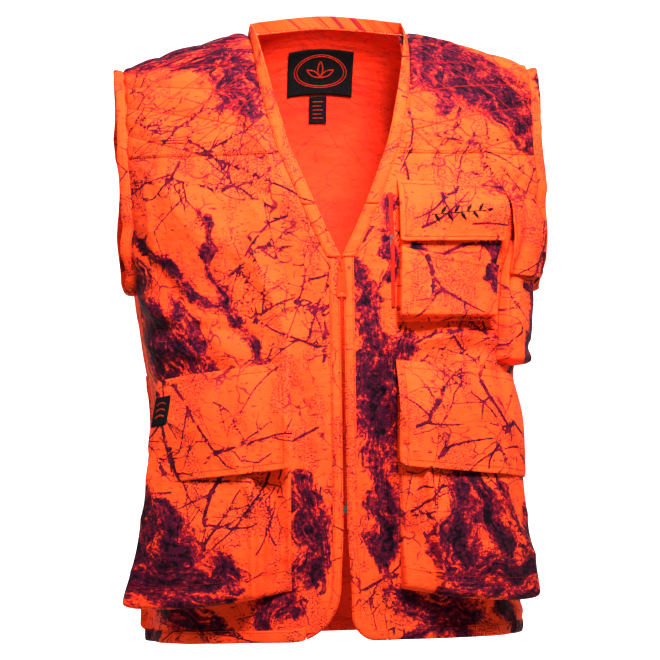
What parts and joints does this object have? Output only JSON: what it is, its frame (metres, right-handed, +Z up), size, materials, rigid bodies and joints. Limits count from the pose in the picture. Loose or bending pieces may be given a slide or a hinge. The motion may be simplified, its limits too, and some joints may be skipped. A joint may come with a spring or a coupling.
{
  "type": "zip-front hunting vest",
  "caption": "Sleeveless zip-front hunting vest with a V neck, quilted shoulders, flapped chest, side and bellows pockets, and a rear game bag, shaped as if worn.",
  "frame": {"origin": "midway between the two points where the shoulder seams meet the neckline, where a torso or a hanger carries the vest", "axes": "+X towards the wearer's left, -Y the front, +Z up"},
  "size_m": [0.4974, 0.2879, 0.7233],
  "materials": {
    "print_cloth": "matte printed woven",
    "band_cloth": "matte woven, top-stitched",
    "binding_cloth": "matte woven, folded",
    "quilted_cloth": "matte, quilted over foam",
    "zip_tape": "matte woven tape",
    "zip_plastic": "moulded, satin",
    "zip_metal": "plated",
    "label_cloth": "woven label",
    "emblem_thread": "embroidered thread",
    "hook_and_loop": "hook and loop pile"
  },
  "bodies": {
    "garment": {"back_hem_band": "band_cloth", "back_neck_band": "band_cloth", "back_panel": "print_cloth", "chest_pocket_face": "print_cloth", "chest_pocket_gusset": "print_cloth", "chest_pocket_loop_patch": "hook_and_loop", "chest_pouch_face": "print_cloth", "chest_pouch_gusset": "print_cloth", "chest_zip_tape": "zip_tape", "game_bag_face": "print_cloth", "game_bag_gusset": "print_cloth", "left_armhole_binding": "binding_cloth", "left_front_panel": "print_cloth", "left_hem_band": "band_cloth", "left_lower_pocket_face": "print_cloth", "left_lower_pocket_gusset": "print_cloth", "left_neck_band": "band_cloth", "left_shoulder_quilt": "quilted_cloth", "neck_label": "label_cloth", "right_armhole_binding": "binding_cloth", "right_front_panel": "print_cloth", "right_hem_band": "band_cloth", "right_lower_pocket_face": "print_cloth", "right_lower_pocket_gusset": "print_cloth", "right_neck_band": "band_cloth", "right_shoulder_quilt": "quilted_cloth", "side_pocket_face": "print_cloth", "side_pocket_gusset": "print_cloth"},
    "right_front_edge": {"right_front_strip": "print_cloth", "right_placket_band": "band_cloth", "right_zip_tape": "zip_tape", "right_zip_teeth": "zip_plastic", "right_zip_top_stop": "zip_plastic", "zip_retainer_box": "zip_metal"},
    "left_front_edge": {"left_front_strip": "print_cloth", "left_placket_band": "band_cloth", "left_zip_tape": "zip_tape", "left_zip_teeth": "zip_plastic", "left_zip_top_stop": "zip_plastic", "zip_insertion_pin": "zip_metal"},
    "zip_slider": {"zip_slider": "zip_plastic"},
    "zip_pull": {"zip_pull": "zip_plastic"},
    "chest_flap": {"chest_pocket_flap": "print_cloth", "chest_flap_emblem": "emblem_thread", "chest_flap_hook_patch": "hook_and_loop"},
    "side_flap": {"side_pocket_flap": "print_cloth"},
    "left_lower_flap": {"left_lower_pocket_flap": "print_cloth"},
    "right_lower_flap": {"right_lower_pocket_flap": "print_cloth", "right_flap_label": "label_cloth"},
    "chest_zip_slider": {"chest_zip_slider": "zip_metal"},
    "chest_zip_pull": {"chest_zip_pull": "zip_metal"},
    "size_tag": {"size_tag": "label_cloth"}
  },
  "joints": [
    {"name": "right_front_opens", "type": "hinge", "parent": "garment", "child": "right_front_edge", "pos_m": [-0.046, -0.1258, -0.4], "axis": [0, 0, -1], "range_deg": [0, 90]},
    {"name": "left_front_opens", "type": "hinge", "parent": "garment", "child": "left_front_edge", "pos_m": [0.046, -0.1258, -0.4], "axis": [0, 0, 1], "range_deg": [0, 90]},
    {"name": "zip_slides", "type": "slide", "parent": "right_front_edge", "child": "zip_slider", "axis": [0, 0, -1], "range_m": [0, 0.26]},
    {"name": "zip_pull_lifts", "type": "hinge", "parent": "zip_slider", "child": "zip_pull", "pos_m": [0, -0.1282, -0.27], "axis": [-1, 0, 0], "range_deg": [0, 135]},
    {"name": "chest_flap_lifts", "type": "hinge", "parent": "garment", "child": "chest_flap", "pos_m": [0.13062, -0.11194, -0.17618], "axis": [-0.9753, -0.2101, 0.0682], "range_deg": [0, 140]},
    {"name": "side_flap_lifts", "type": "hinge", "parent": "garment", "child": "side_flap", "pos_m": [0.20986, -0.07834, -0.18846], "axis": [-0.7673, -0.6353, 0.0875], "range_deg": [0, 120]},
    {"name": "left_lower_flap_lifts", "type": "hinge", "parent": "garment", "child": "left_lower_flap", "pos_m": [0.14695, -0.10423, -0.38446], "axis": [-0.9055, -0.4054, 0.1255], "range_deg": [0, 120]},
    {"name": "right_lower_flap_lifts", "type": "hinge", "parent": "garment", "child": "right_lower_flap", "pos_m": [-0.14695, -0.10423, -0.38446], "axis": [-0.9055, 0.4054, -0.1255], "range_deg": [0, 120]},
    {"name": "chest_zip_slides", "type": "slide", "parent": "garment", "child": "chest_zip_slider", "axis": [0, 0, -1], "range_m": [0, 0.06]},
    {"name": "chest_zip_pull_lifts", "type": "hinge", "parent": "chest_zip_slider", "child": "chest_zip_pull", "pos_m": [0.057, -0.1277, -0.236], "axis": [-1, 0, 0], "range_deg": [0, 120]},
    {"name": "size_tag_lifts", "type": "hinge", "parent": "garment", "child": "size_tag", "pos_m": [-0.0015, 0.0875, -0.0627], "axis": [-1, 0, 0], "range_deg": [0, 70]}
  ]
}
